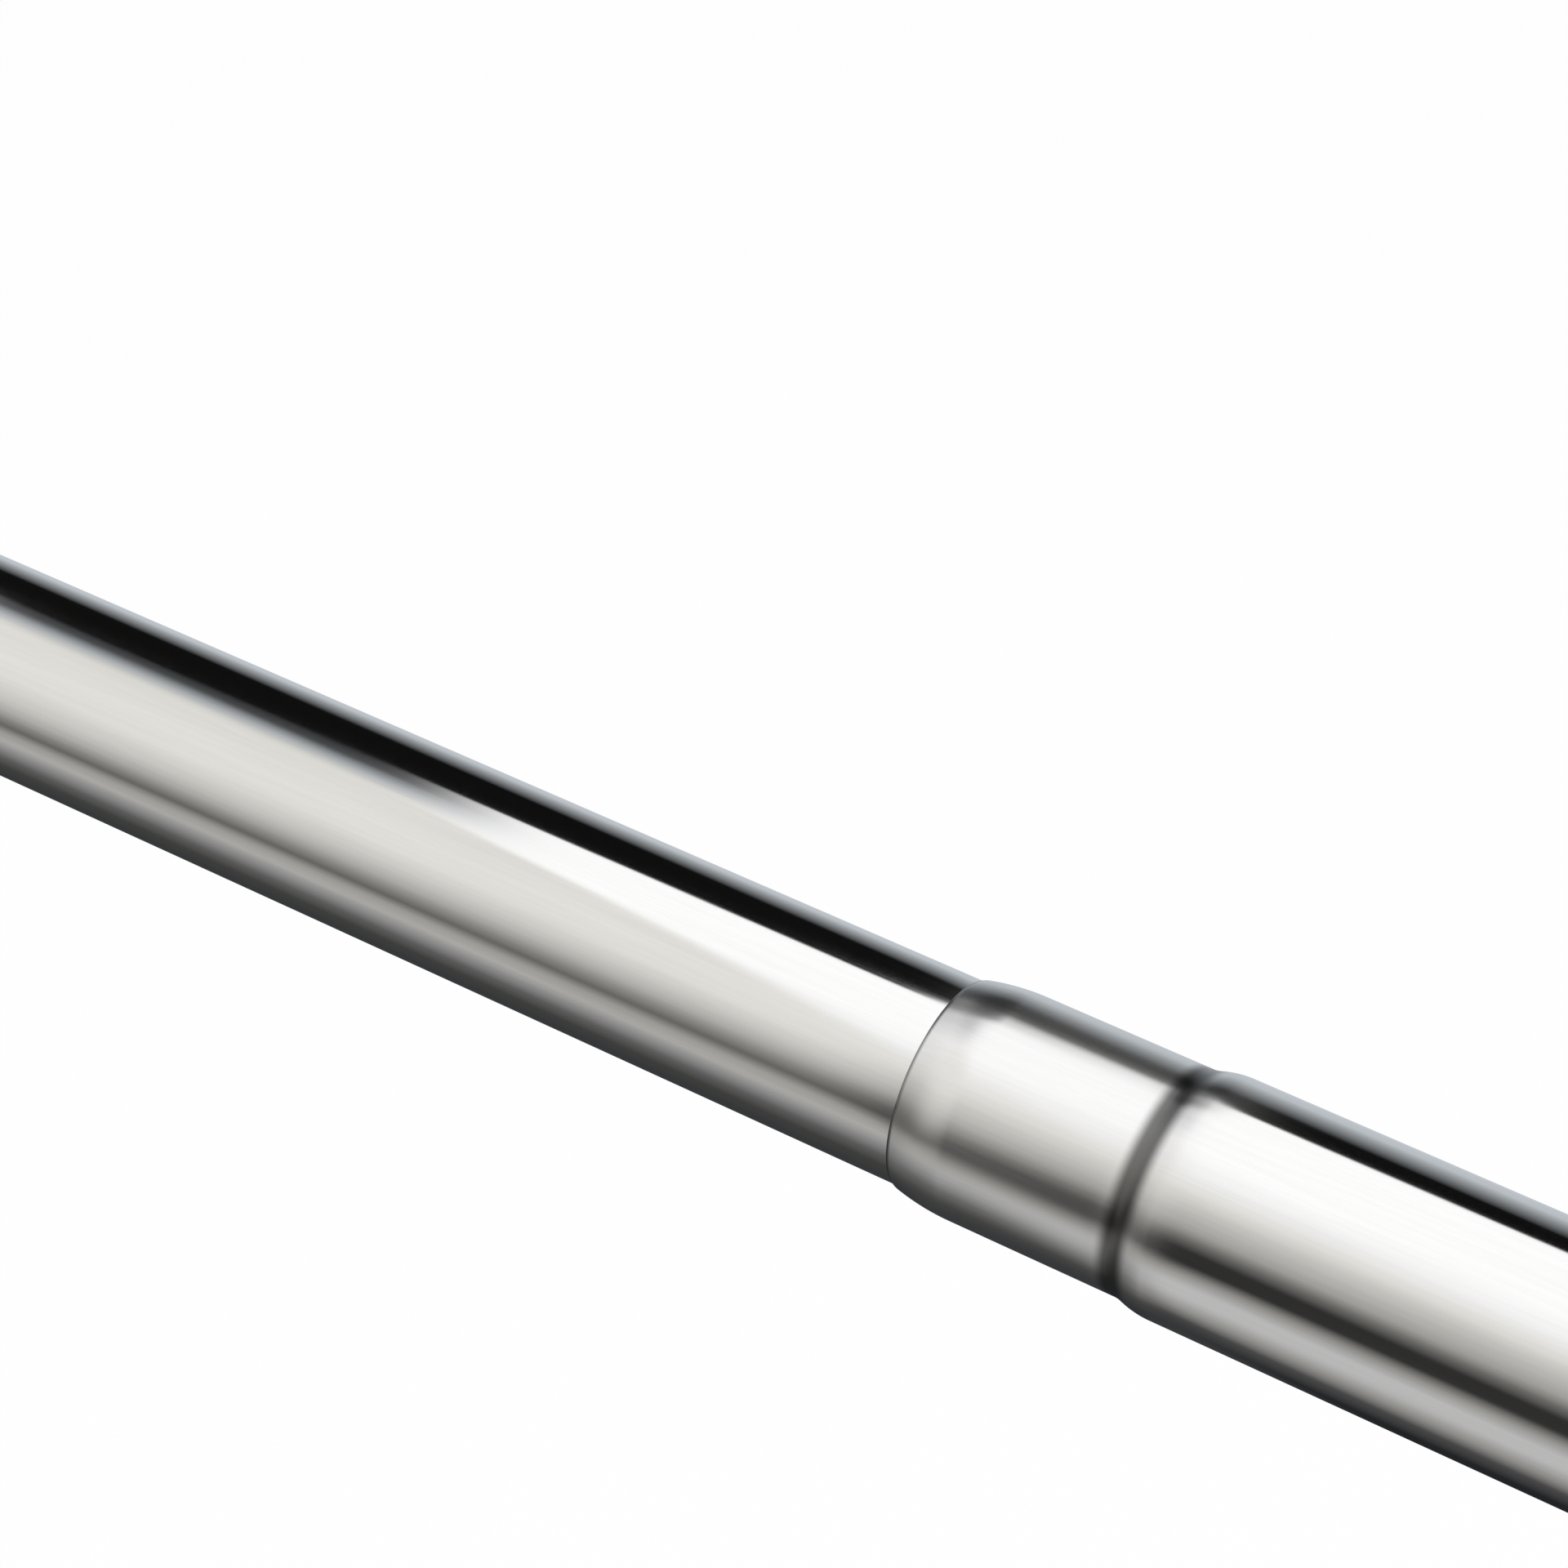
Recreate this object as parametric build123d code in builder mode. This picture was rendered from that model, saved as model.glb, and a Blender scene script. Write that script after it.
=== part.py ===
"""Telescopic curtain rod: two steel tubes, a swaged mouth, an expander lock and a tension spring.

All sizes are in millimetres. The rod lies along X. The wall face of the outer tube's foot is at
x = 0 and faces +X, and the rod runs from there towards -X, with the inner tube on the far side.
"""

import os
from math import asin, atan, cos, degrees, radians, sin, sqrt, tan

from build123d import *

# Inner tube
inner_od = 19.0
inner_wall = 0.6
inner_length = 238.0
exposed_length = 140.0

# Outer tube, swaged down at its mouth until it runs on the inner tube
outer_wall = 0.6
outer_length = 320.0
swage_step = 0.6
neck_gap = 0.3
neck_length = 22.0
taper_angle = 17.5
root_radius = 3.0
shoulder_radius = 8.0
crown_length = 6.0
crown_radius = 22.0
lip_radius = 1.2
lip_gap = 0.1

# Feet, one on each end of the rod
flange_overhang = 6.0
flange_thickness = 4.0
flange_edge = 1.0
flange_rake = 1.0
flange_throat = 2.5
pad_rim = 2.0
pad_thickness = 3.0
pad_proud = 1.5
pad_gap = 0.1
pad_edge = 0.4
web_thickness = 4.0
socket_depth = 20.0
socket_wall = 2.0
socket_gap = 0.05
skirt_edge = 0.6

# Plugs pressed into the tube ends behind the feet
plug_flange = 1.2
plug_length = 18.0
plug_wall = 1.6
plug_boss_wall = 1.95
plug_rib = 1.4
plug_floor = 2.5
press_gap = 0.03
barb_height = 0.5
barb_land = 1.0
barb_length = 4.0
barb_pitch = 6.0
barb_count = 2

# Screws that hold the feet
foot_screw_diameter = 3.5
foot_screw_length = 14.0
foot_screw_head = 6.8
foot_screw_head_height = 1.8
foot_screw_crown = 0.9
screw_clearance = 0.2
screw_tip_share = 0.25
pilot_gap = 0.05

# Guide bush in the inner tube's end
bush_collar_length = 6.0
bush_collar_chamfer = 0.6
bush_body_length = 20.0
bush_bore_gap = 0.2
dimple_setback = 10.0
dimple_radius = 2.4
dimple_depth = 0.55
dimple_count = 3
dimple_groove_gap = 0.25

# Spindle with its square shank, spring seat and threaded nose
shank_width = 8.0
shank_corner = 0.8
shank_gap = 0.2
end_play = 0.3
seat_thickness = 3.0
seat_gap = 0.8
spigot_length = 3.0
spigot_chamfer = 0.5
thread_diameter = 10.0
thread_gap = 0.1

# Compression spring at its fitted length
spring_wire = 1.8
wire_side_count = 6
spring_bore_gap = 1.9
spring_length = 37.0
spring_active_turns = 4
spring_closed_gap = 0.15
spigot_gap = 0.35
spring_washer_thickness = 1.0
spring_washer_margin = 0.5

# Split expander sleeve and its cones
sleeve_length = 22.0
sleeve_gap = 0.3
sleeve_mouth_wall = 1.2
sleeve_middle_wall = 2.6
sleeve_land = 4.0
slot_width = 2.0
slot_bridge = 6.0
slots_per_end = 3
grip_groove_depth = 0.35
grip_groove_width = 1.0
grip_groove_pitch = 5.0
grip_groove_count = 3
cone_length = 12.0
cone_play = 0.4
cone_travel = 2.2
cone_fit_gap = 0.03
fixed_cone_gap = 0.3
fixed_cone_tip_gap = 1.0
lug_gap = 0.2
lug_sink = 0.5

# Washer and screw at each end of the spindle
end_washer_thickness = 1.2
end_washer_overlap = 1.4
end_screw_diameter = 4.0
end_screw_length = 10.0
end_screw_head = 7.6
end_screw_head_height = 2.4
end_screw_crown = 1.2

# Radii that follow from the driving sizes
inner_radius = inner_od / 2
inner_bore = inner_radius - inner_wall
neck_radius = inner_radius + neck_gap + outer_wall
outer_radius = neck_radius + swage_step
outer_bore = outer_radius - outer_wall
flange_radius = outer_radius + flange_overhang
pad_radius = flange_radius - pad_rim
coil_radius = outer_bore - spring_bore_gap - spring_wire / 2

# Stations along the rod
tube_end_setback = pad_thickness + web_thickness + plug_flange
foot_length = pad_thickness + web_thickness + socket_depth
outer_end_x = -tube_end_setback
lip_x = outer_end_x - outer_length
inner_wall_x = lip_x - exposed_length - foot_length
inner_end_x = inner_wall_x + tube_end_setback + inner_length
spring_washer_x = inner_end_x + bush_collar_length
spring_start_x = spring_washer_x + spring_washer_thickness
seat_x = spring_start_x + spring_length
sleeve_x = seat_x + seat_thickness + end_play
shank_end_x = inner_end_x - bush_body_length - end_play

os.makedirs("parts", exist_ok=True)


def section_plane(x, inward=1):
    """A plane through the rod's axis: local x runs along the rod, local y is the radius."""
    return Plane(origin=(x, 0, 0), x_dir=(inward, 0, 0), z_dir=(0, -inward, 0))


def cross_plane(x):
    """A plane square to the rod's axis, which faces +X with its local y upwards."""
    return Plane(origin=(x, 0, 0), x_dir=(0, 1, 0), z_dir=(1, 0, 0))


# Outer tube. The mouth is crowned in to a land that guides the inner tube, with a rounded lip, and
# an S curve, two arcs with a short cone between them, joins the reduced neck to the full diameter.
taper_slope = radians(taper_angle)
root_run = root_radius * sin(taper_slope)
root_rise = root_radius * (1 - cos(taper_slope))
shoulder_run = shoulder_radius * sin(taper_slope)
shoulder_rise = shoulder_radius * (1 - cos(taper_slope))
taper_length = root_run + (swage_step - root_rise - shoulder_rise) / tan(taper_slope) + shoulder_run
wall_run = outer_wall * sin(taper_slope)
wall_rise = outer_wall * (1 - cos(taper_slope))
land_radius = inner_radius + lip_gap
crown_slope = asin((crown_length - lip_radius) / (crown_radius - lip_radius))
crown_centre_radius = neck_radius - crown_radius
crown_start = (
    crown_length - crown_radius * sin(crown_slope),
    crown_centre_radius + crown_radius * cos(crown_slope),
)
crown_end = (crown_length, neck_radius)
crown_direction = (cos(crown_slope), sin(crown_slope))
lip_rise = land_radius - crown_centre_radius - (crown_radius - lip_radius) * cos(crown_slope)
lip_face = (lip_radius - sqrt(lip_radius**2 - lip_rise**2), land_radius)
land_rise = land_radius - crown_centre_radius
land_end = (crown_length - sqrt((crown_radius - outer_wall) ** 2 - land_rise**2), land_radius)
bore_crown_end = (crown_length, neck_radius - outer_wall)
taper_start = (neck_length, neck_radius)
cone_start = (neck_length + root_run, neck_radius + root_rise)
cone_end = (neck_length + taper_length - shoulder_run, outer_radius - shoulder_rise)
taper_end = (neck_length + taper_length, outer_radius)
bore_taper_start = (neck_length, neck_radius - outer_wall)
bore_cone_start = (cone_start[0] + wall_run, cone_start[1] - outer_wall + wall_rise)
bore_cone_end = (cone_end[0] + wall_run, cone_end[1] - outer_wall + wall_rise)
bore_taper_end = (neck_length + taper_length, outer_bore)
taper_direction = (cos(taper_slope), sin(taper_slope))

with BuildPart() as outer_tube:
    with BuildSketch(section_plane(lip_x)):
        with BuildLine():
            TangentArc(crown_start, crown_end, tangent=crown_direction)
            Line(crown_end, taper_start)
            TangentArc(taper_start, cone_start, tangent=(1, 0))
            Line(cone_start, cone_end)
            TangentArc(cone_end, taper_end, tangent=taper_direction)
            Line(taper_end, (outer_length, outer_radius))
            Line((outer_length, outer_radius), (outer_length, outer_bore))
            Line((outer_length, outer_bore), bore_taper_end)
            TangentArc(bore_cone_end, bore_taper_end, tangent=taper_direction)
            Line(bore_cone_start, bore_cone_end)
            TangentArc(bore_taper_start, bore_cone_start, tangent=(1, 0))
            Line(bore_taper_start, bore_crown_end)
            TangentArc(bore_crown_end, land_end, tangent=(-1, 0))
            Line(land_end, lip_face)
            TangentArc(crown_start, lip_face, tangent=(-crown_direction[0], -crown_direction[1]))
        make_face()
    revolve(axis=Axis.X)
outer_tube.part.label = "outer_tube"
export_step(outer_tube.part, "parts/outer_tube.step")

# Inner tube. Three dimples punched near its end hold the guide bush.
dimple_x = inner_end_x - dimple_setback
dimple_centre_radius = inner_radius + dimple_radius - dimple_depth
dimple_outside_radius = dimple_radius + inner_wall
dimple_envelope = (
    Pos(dimple_x, 0, 0) * Rot(0, 90, 0) * Cylinder(inner_radius, 2 * dimple_outside_radius)
)

with BuildPart() as inner_tube:
    with BuildSketch(cross_plane(inner_end_x - inner_length)):
        Circle(inner_radius)
        Circle(inner_bore, mode=Mode.SUBTRACT)
    extrude(amount=inner_length)
    for turn in range(dimple_count):
        angle = radians(90 + turn * 360 / dimple_count)
        centre = Vector(0, cos(angle), sin(angle)) * dimple_centre_radius + Vector(dimple_x)
        boss = Pos(centre) * Sphere(dimple_outside_radius, mode=Mode.PRIVATE)
        add(boss & dimple_envelope)
        with Locations(centre):
            Sphere(dimple_radius, mode=Mode.SUBTRACT)
inner_tube.part.label = "inner_tube"
export_step(inner_tube.part, "parts/inner_tube.step")


def make_plug(wall_x, inward, tube_radius, bore, name):
    """A moulded plug: flange, barbed wall and a ribbed screw boss, open towards the tube."""
    body_radius = bore - press_gap
    root = body_radius - barb_height
    cavity_radius = root - plug_wall
    front = pad_thickness + web_thickness
    body_start = front + plug_flange
    with BuildPart() as plug:
        with BuildSketch(section_plane(wall_x, inward)):
            with BuildLine():
                Polyline(
                    (front, 0),
                    (front, tube_radius),
                    (body_start, tube_radius),
                    (body_start, root),
                    (body_start + plug_length, root),
                    (body_start + plug_length, 0),
                    close=True,
                )
            make_face()
        revolve(axis=Axis.X)
        with BuildSketch(section_plane(wall_x, inward)):
            for barb in range(barb_count):
                start = body_start + barb_land + barb * barb_pitch
                with BuildLine():
                    Polyline(
                        (start, cavity_radius),
                        (start, body_radius),
                        (start + barb_land, body_radius),
                        (start + barb_length, root),
                        (start + barb_length, cavity_radius),
                        close=True,
                    )
                make_face()
        revolve(axis=Axis.X)
        with BuildSketch(cross_plane(wall_x + inward * (body_start + plug_length))):
            Circle(cavity_radius)
            Circle(foot_screw_diameter / 2 + plug_boss_wall, mode=Mode.SUBTRACT)
            for turn in (0, 90):
                Rectangle(2 * bore, plug_rib, rotation=turn, mode=Mode.SUBTRACT)
        extrude(amount=-inward * (plug_length - plug_floor), mode=Mode.SUBTRACT)
        with BuildSketch(cross_plane(wall_x + inward * front)):
            Circle(foot_screw_diameter / 2 + pilot_gap)
        extrude(amount=inward * foot_screw_length, mode=Mode.SUBTRACT)
    plug.part.label = name
    export_step(plug.part, f"parts/{name}.step")


def make_foot(wall_x, inward, tube_radius, name):
    """A moulded foot: round flange with a pad recess, and a skirt over the tube's end."""
    socket_radius = tube_radius + socket_gap
    skirt_radius = socket_radius + socket_wall
    flange_back = pad_proud + flange_thickness
    recess_floor = pad_thickness
    web_back = pad_thickness + web_thickness
    head_depth = foot_screw_head_height + screw_clearance
    with BuildPart() as foot:
        with BuildSketch(section_plane(wall_x, inward)) as foot_section:
            with BuildLine():
                Polyline(
                    (recess_floor, 0),
                    (recess_floor, pad_radius + pad_gap),
                    (pad_proud, pad_radius + pad_gap),
                    (pad_proud, flange_radius),
                    (flange_back, flange_radius),
                    (flange_back + flange_rake, skirt_radius),
                    (foot_length, skirt_radius),
                    (foot_length, socket_radius),
                    (web_back, socket_radius),
                    (web_back, 0),
                    close=True,
                )
            make_face()
            for x, radius, bevel in (
                (pad_proud, flange_radius, flange_edge),
                (flange_back, flange_radius, flange_edge),
                (flange_back + flange_rake, skirt_radius, flange_throat),
                (foot_length, skirt_radius, skirt_edge),
            ):
                corner = foot_section.vertices().sort_by_distance((x, radius))
                chamfer(corner[0], bevel)
        revolve(axis=Axis.X)
        with BuildSketch(cross_plane(wall_x + inward * recess_floor)):
            Circle(foot_screw_head / 2 + screw_clearance)
        extrude(amount=inward * head_depth, mode=Mode.SUBTRACT)
        with BuildSketch(cross_plane(wall_x + inward * recess_floor)):
            Circle(foot_screw_diameter / 2 + screw_clearance)
        extrude(amount=inward * web_thickness, mode=Mode.SUBTRACT)
    foot.part.label = name
    export_step(foot.part, f"parts/{name}.step")


def make_pad(wall_x, inward, name):
    """A rubber disc in the foot's recess, bevelled where it meets the wall."""
    with BuildPart() as pad:
        with BuildSketch(cross_plane(wall_x)):
            Circle(pad_radius)
        extrude(amount=inward * pad_thickness)
        wall_face = pad.faces().sort_by_distance((wall_x, 0, 0))[0]
        chamfer(wall_face.edges(), pad_edge)
    pad.part.label = name
    export_step(pad.part, f"parts/{name}.step")


def make_screw(head_x, inward, sizes, name):
    """A pan head screw. The underside of its head is at head_x."""
    diameter, length, head, head_height, crown = sizes
    radius = diameter / 2
    with BuildPart() as screw:
        with BuildSketch(section_plane(head_x, inward)):
            with BuildLine():
                Polyline(
                    (-head_height, 0),
                    (-head_height, head / 2 - crown),
                    (crown - head_height, head / 2),
                    (0, head / 2),
                    (0, radius),
                    (length - radius, radius),
                    (length, screw_tip_share * radius),
                    (length, 0),
                    close=True,
                )
            make_face()
        revolve(axis=Axis.X)
    screw.part.label = name
    export_step(screw.part, f"parts/{name}.step")


def make_washer(x, inward, thickness, radius, hole_radius, name):
    """A flat washer that starts at x."""
    with BuildPart() as washer:
        with BuildSketch(cross_plane(x)):
            Circle(radius)
            Circle(hole_radius, mode=Mode.SUBTRACT)
        extrude(amount=inward * thickness)
    washer.part.label = name
    export_step(washer.part, f"parts/{name}.step")


# Feet, plugs, screws and pads on both ends
foot_screw = (
    foot_screw_diameter,
    foot_screw_length,
    foot_screw_head,
    foot_screw_head_height,
    foot_screw_crown,
)
head_seat = pad_thickness + foot_screw_head_height + screw_clearance
for side, wall_x, inward, tube_radius, bore in (
    ("outer", 0, -1, outer_radius, outer_bore),
    ("inner", inner_wall_x, 1, inner_radius, inner_bore),
):
    make_plug(wall_x, inward, tube_radius, bore, f"{side}_plug")
    make_foot(wall_x, inward, tube_radius, f"{side}_foot")
    make_screw(wall_x + inward * head_seat, inward, foot_screw, f"{side}_foot_screw")
    make_pad(wall_x, inward, f"{side}_pad")

# Guide bush. Its collar runs in the outer tube's bore and stops at the swaged neck, and its square
# hole drives the spindle's shank.
bush_radius = inner_bore - press_gap
groove_radius = inner_bore - dimple_depth - dimple_groove_gap
groove_half_width = dimple_radius + inner_wall

with BuildPart() as guide_bush:
    with BuildSketch(section_plane(inner_end_x)):
        with BuildLine():
            Polyline(
                (-bush_body_length, 0),
                (-bush_body_length, bush_radius),
                (-dimple_setback - groove_half_width, bush_radius),
                (-dimple_setback - groove_half_width / 2, groove_radius),
                (-dimple_setback + groove_half_width / 2, groove_radius),
                (-dimple_setback + groove_half_width, bush_radius),
                (0, bush_radius),
                (0, outer_bore - bush_bore_gap),
                (bush_collar_length, outer_bore - bush_bore_gap),
                (bush_collar_length, 0),
                close=True,
            )
        make_face()
    revolve(axis=Axis.X)
    collar_rims = guide_bush.edges().filter_by(GeomType.CIRCLE).group_by(SortBy.RADIUS)[-1]
    chamfer(collar_rims, bush_collar_chamfer)
    with BuildSketch(cross_plane(inner_end_x - bush_body_length)):
        RectangleRounded(
            shank_width + 2 * shank_gap, shank_width + 2 * shank_gap, shank_corner + shank_gap
        )
    extrude(amount=bush_body_length + bush_collar_length, mode=Mode.SUBTRACT)
guide_bush.part.label = "guide_bush"
export_step(guide_bush.part, "parts/guide_bush.step")

# Expander sleeve: a split collet with a taper in each mouth. Slots from both ends let it spread
# against the outer tube's bore.
sleeve_radius = outer_bore - sleeve_gap
mouth_radius = sleeve_radius - sleeve_mouth_wall
middle_radius = sleeve_radius - sleeve_middle_wall
mouth_depth = (sleeve_length - sleeve_land) / 2
slot_length = sleeve_length - slot_bridge
cone_angle = atan((mouth_radius - middle_radius) / mouth_depth)

with BuildPart() as expander_sleeve:
    with BuildSketch(section_plane(sleeve_x)):
        with BuildLine():
            Polyline(
                (0, mouth_radius),
                (mouth_depth, middle_radius),
                (sleeve_length - mouth_depth, middle_radius),
                (sleeve_length, mouth_radius),
                (sleeve_length, sleeve_radius),
                (0, sleeve_radius),
                close=True,
            )
        make_face()
    revolve(axis=Axis.X)
    first_groove = (sleeve_length - (grip_groove_count - 1) * grip_groove_pitch) / 2
    with BuildSketch(section_plane(sleeve_x)):
        for groove in range(grip_groove_count):
            with Locations((first_groove + groove * grip_groove_pitch, sleeve_radius)):
                Rectangle(grip_groove_width, 2 * grip_groove_depth)
    revolve(axis=Axis.X, mode=Mode.SUBTRACT)
    half_pitch = 180 / slots_per_end
    for end_x, inward, turn in (
        (sleeve_x, 1, half_pitch),
        (sleeve_x + sleeve_length, -1, 0),
    ):
        with BuildSketch(cross_plane(end_x)):
            with PolarLocations(sleeve_radius, slots_per_end, start_angle=90 + turn):
                Rectangle(sleeve_radius, slot_width)
        extrude(amount=inward * slot_length, mode=Mode.SUBTRACT)
expander_sleeve.part.label = "expander_sleeve"
export_step(expander_sleeve.part, "parts/expander_sleeve.step")

# Expander cone: the nut on the spindle's thread. Lugs in the sleeve's slots keep it from turning.
# It rests one full travel short of the place where it wedges the sleeve.
cone_nose_x = sleeve_x + sleeve_length - mouth_depth + cone_travel
cone_back_x = cone_nose_x + cone_length
cone_nose_radius = middle_radius - cone_fit_gap
cone_back_radius = cone_nose_radius + cone_length * tan(cone_angle)
lug_radius = sleeve_radius - lug_sink

with BuildPart() as expander_cone:
    with BuildSketch(section_plane(cone_nose_x)):
        with BuildLine():
            Polyline(
                (0, 0),
                (0, cone_nose_radius),
                (cone_length, cone_back_radius),
                (cone_length, 0),
                close=True,
            )
        make_face()
    revolve(axis=Axis.X)
    with BuildSketch(cross_plane(cone_nose_x)):
        with PolarLocations(lug_radius / 2, slots_per_end, start_angle=90):
            Rectangle(lug_radius, slot_width - 2 * lug_gap)
    extrude(amount=cone_length)
    with BuildSketch(cross_plane(cone_nose_x)):
        Circle(thread_diameter / 2 + thread_gap)
    extrude(amount=cone_length, mode=Mode.SUBTRACT)
expander_cone.part.label = "expander_cone"
export_step(expander_cone.part, "parts/expander_cone.step")

# Spindle. From left to right: square shank, spring spigot, spring seat, fixed cone and nose.
nose_end_x = cone_back_x + cone_play
seat_radius = outer_bore - seat_gap
spigot_radius = coil_radius - spring_wire / 2 - spigot_gap
fixed_cone_length = mouth_depth - fixed_cone_tip_gap
fixed_cone_base_radius = mouth_radius - fixed_cone_gap
fixed_cone_tip_radius = fixed_cone_base_radius - fixed_cone_length * tan(cone_angle)

with BuildPart() as lock_spindle:
    with BuildSketch(cross_plane(shank_end_x)):
        RectangleRounded(shank_width, shank_width, shank_corner)
    extrude(amount=seat_x - shank_end_x)
    with BuildSketch(section_plane(seat_x)):
        with BuildLine():
            Polyline(
                (-spigot_length, 0),
                (-spigot_length, spigot_radius - spigot_chamfer),
                (-spigot_length + spigot_chamfer, spigot_radius),
                (0, spigot_radius),
                (0, seat_radius),
                (seat_thickness, seat_radius),
                (seat_thickness, fixed_cone_base_radius),
                (seat_thickness + fixed_cone_length, fixed_cone_tip_radius),
                (seat_thickness + fixed_cone_length, thread_diameter / 2),
                (nose_end_x - seat_x, thread_diameter / 2),
                (nose_end_x - seat_x, 0),
                close=True,
            )
        make_face()
    revolve(axis=Axis.X)
    for face_x, inward in ((shank_end_x, 1), (nose_end_x, -1)):
        with BuildSketch(cross_plane(face_x)):
            Circle(end_screw_diameter / 2 + pilot_gap)
        extrude(amount=inward * end_screw_length, mode=Mode.SUBTRACT)
lock_spindle.part.label = "lock_spindle"
export_step(lock_spindle.part, "parts/lock_spindle.step")

# Washers and screws on both ends of the spindle, and the washer under the spring
end_screw = (
    end_screw_diameter,
    end_screw_length,
    end_screw_head,
    end_screw_head_height,
    end_screw_crown,
)
washer_hole = end_screw_diameter / 2 + screw_clearance
shank_corner_reach = (shank_width / 2 - shank_corner) * sqrt(2) + shank_corner
shank_washer_radius = shank_corner_reach + shank_gap + end_washer_overlap
nose_washer_radius = thread_diameter / 2 + thread_gap + end_washer_overlap
spring_washer_radius = coil_radius + spring_wire / 2 + spring_washer_margin
spring_washer_hole = shank_corner_reach + spring_washer_margin

make_washer(
    shank_end_x, -1, end_washer_thickness, shank_washer_radius, washer_hole, "shank_washer"
)
make_screw(shank_end_x - end_washer_thickness, 1, end_screw, "shank_screw")
make_washer(nose_end_x, 1, end_washer_thickness, nose_washer_radius, washer_hole, "nose_washer")
make_screw(nose_end_x + end_washer_thickness, -1, end_screw, "nose_screw")
make_washer(
    spring_washer_x,
    1,
    spring_washer_thickness,
    spring_washer_radius,
    spring_washer_hole,
    "spring_washer",
)

# Compression spring: open coils between one closed turn at each end, with both ends ground flat.
# Six flats, set one wire diameter apart, stand for the round wire.
closed_pitch = spring_wire + spring_closed_gap
active_length = spring_length - 2 * closed_pitch
active_pitch = active_length / spring_active_turns

with BuildPart() as tension_spring:
    with BuildLine() as coil:
        start_x = spring_start_x
        for pitch, height in (
            (closed_pitch, closed_pitch),
            (active_pitch, active_length),
            (closed_pitch, closed_pitch),
        ):
            Helix(pitch, height, coil_radius, center=(start_x, 0, 0), direction=(1, 0, 0))
            start_x += height
    coil_wire = coil.wire()
    with BuildSketch(Plane(origin=coil_wire @ 0, z_dir=coil_wire % 0)):
        RegularPolygon(
            spring_wire / 2, wire_side_count, major_radius=False, rotation=180 / wire_side_count
        )
    sweep(path=coil_wire, is_frenet=True, transition=Transition.ROUND)
    split(bisect_by=cross_plane(spring_start_x), keep=Keep.TOP)
    split(bisect_by=cross_plane(seat_x), keep=Keep.BOTTOM)
tension_spring.part.label = "tension_spring"
export_step(tension_spring.part, "parts/tension_spring.step")

print("overall length", round(-inner_wall_x, 2))
print("outer tube diameter", round(2 * outer_radius, 3), "neck", round(2 * neck_radius, 3))
print("lip", round(lip_x, 2), "inner tube end", round(inner_end_x, 2))
print("taper length", round(taper_length, 2))
print("cone angle", round(degrees(cone_angle), 2))
print("spring volume", round(tension_spring.part.volume, 1), "length", round(coil_wire.length, 1))
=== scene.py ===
"""Looks of the telescopic rod: polished steel tubes, moulded feet, rubber pads, lock and spring."""

import math

import bmesh
import bpy
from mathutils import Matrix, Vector


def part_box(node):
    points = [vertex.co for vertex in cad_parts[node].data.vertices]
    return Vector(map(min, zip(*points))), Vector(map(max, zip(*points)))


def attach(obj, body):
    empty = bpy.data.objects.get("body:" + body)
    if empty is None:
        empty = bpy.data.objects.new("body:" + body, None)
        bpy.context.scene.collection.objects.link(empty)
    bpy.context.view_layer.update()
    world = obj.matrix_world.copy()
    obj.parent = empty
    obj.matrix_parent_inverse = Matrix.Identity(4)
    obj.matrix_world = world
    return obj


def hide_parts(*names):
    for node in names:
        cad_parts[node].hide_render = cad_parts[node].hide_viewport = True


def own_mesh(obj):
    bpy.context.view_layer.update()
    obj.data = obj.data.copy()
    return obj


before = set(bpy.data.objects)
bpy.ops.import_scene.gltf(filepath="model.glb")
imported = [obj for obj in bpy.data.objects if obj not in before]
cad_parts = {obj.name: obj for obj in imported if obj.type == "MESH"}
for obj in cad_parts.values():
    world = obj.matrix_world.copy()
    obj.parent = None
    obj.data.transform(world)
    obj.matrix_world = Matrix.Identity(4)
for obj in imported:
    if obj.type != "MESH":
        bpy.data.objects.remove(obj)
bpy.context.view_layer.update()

MM = 0.001

# Sizes of the tubes, as in the part's source
INNER_WALL = 0.6 * MM
OUTER_WALL = 0.6 * MM
SWAGE_STEP = 0.6 * MM
NECK_LENGTH = 22.0 * MM
TAPER_ANGLE = math.radians(17.5)
ROOT_RADIUS = 3.0 * MM
SHOULDER_RADIUS = 8.0 * MM
CROWN_LENGTH = 6.0 * MM
CROWN_RADIUS = 22.0 * MM
LIP_RADIUS = 1.2 * MM
LIP_GAP = 0.1 * MM
DIMPLE_SETBACK = 10.0 * MM
DIMPLE_RADIUS = 2.4 * MM
DIMPLE_DEPTH = 0.55 * MM
DIMPLE_COUNT = 3

# Sizes of the feet and pads
PAD_PROUD = 1.5 * MM
PAD_THICKNESS = 3.0 * MM
PAD_GAP = 0.1 * MM
TREAD_DEPTH = 0.7 * MM
TREAD_WIDTH = 1.2 * MM
TREAD_RINGS = 3
FLANGE_THICKNESS = 4.0 * MM
FLANGE_RAKE = 1.0 * MM
FLANGE_CORNER = 1.0 * MM
PAD_RIM = 2.0 * MM
PAD_CORNER = 0.4 * MM
PAD_CENTRE = 0.2 * MM
TREAD_CORNER = 0.15 * MM
TREAD_FILLET = 0.25 * MM
WEB_THICKNESS = 4.0 * MM
RECESS_CORNER = 0.3 * MM
SKIRT_FILLET = 2.0 * MM
SKIRT_CORNER = 0.8 * MM
SOCKET_WALL = 2.0 * MM
SOCKET_GAP = 0.05 * MM
SOCKET_CORNER = 0.3 * MM
SCREW_HOLE_RADIUS = 1.95 * MM

# Sizes of the spring
SPRING_WIRE = 1.8 * MM
SPRING_INSET = 0.5 * MM
SPRING_ACTIVE_TURNS = 4
SPRING_CLOSED_GAP = 0.15 * MM

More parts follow.
